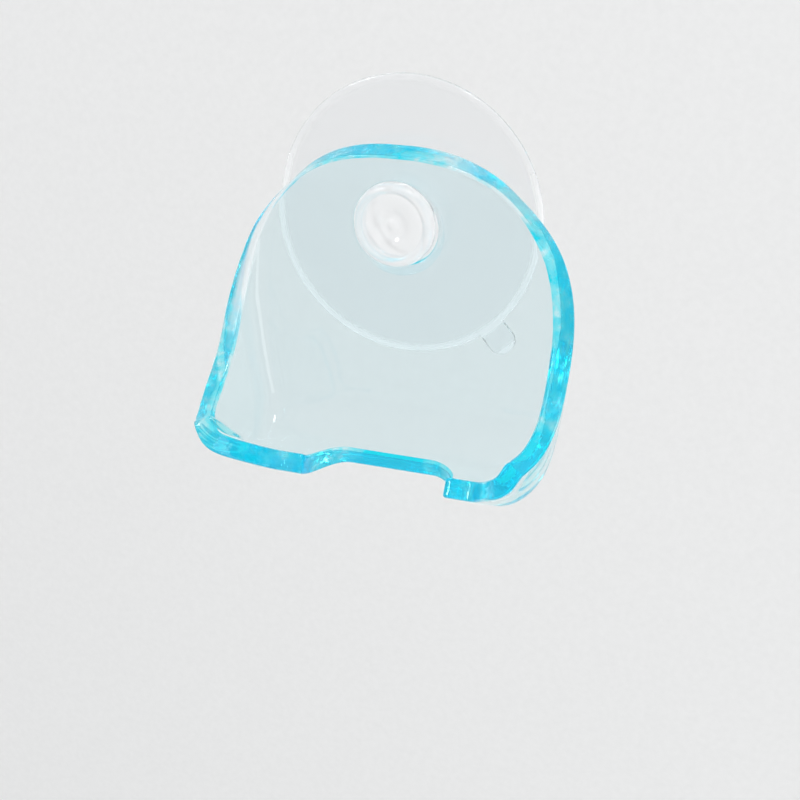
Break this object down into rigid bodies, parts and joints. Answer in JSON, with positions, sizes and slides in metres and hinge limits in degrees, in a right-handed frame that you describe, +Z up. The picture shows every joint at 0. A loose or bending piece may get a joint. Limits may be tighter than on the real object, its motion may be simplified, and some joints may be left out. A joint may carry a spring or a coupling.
{
  "type": "razor holder",
  "caption": "Clear wall holder for a razor: a domed back plate that curls into a notched tray and hangs on the neck of a suction cup.",
  "frame": {"origin": "centre of the suction cup on the wall plane", "axes": "+Y into the wall, +Z up, +X to the right as seen from the room"},
  "size_m": [0.06, 0.0267, 0.0643],
  "materials": {
    "soft_clear": "soft clear vinyl, slightly milky",
    "clear_acrylic": "polished clear plastic, edges tinted cyan"
  },
  "bodies": {
    "cup": {"suction_cup": "soft_clear"},
    "plate": {"holder": "clear_acrylic"}
  },
  "joints": [
    {"name": "plate_turn", "type": "hinge", "parent": "cup", "child": "plate", "pos_m": [0, -0.007, 0], "axis": [0, -1, 0], "continuous": true}
  ]
}
